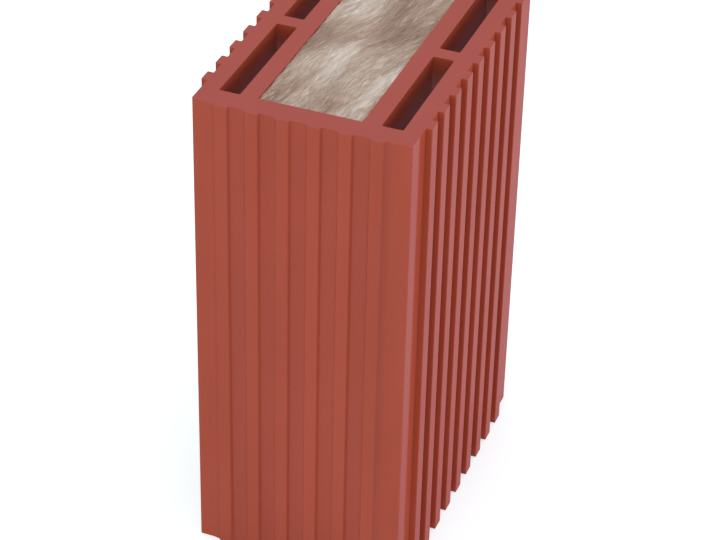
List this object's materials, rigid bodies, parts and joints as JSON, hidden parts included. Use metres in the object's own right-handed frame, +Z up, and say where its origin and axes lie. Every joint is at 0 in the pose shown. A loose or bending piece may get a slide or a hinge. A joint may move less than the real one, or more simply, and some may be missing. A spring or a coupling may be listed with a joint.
{
  "type": "sound insulation block",
  "caption": "Upright fired clay masonry block with ribbed faces, narrow air slots through its height and a core filled with mineral wool against sound.",
  "frame": {"origin": "middle of the underside, on the floor", "axes": "+X through the wall, across the block's width; +Y along the wall, its length, with a joint end at -Y; +Z up, along the slots"},
  "size_m": [0.131, 0.2, 0.3],
  "materials": {
    "fired_clay": "matte, unglazed",
    "mineral_wool": "fibrous, matte"
  },
  "bodies": {
    "root": {"clay_block": "fired_clay", "mineral_wool": "mineral_wool"}
  },
  "joints": []
}
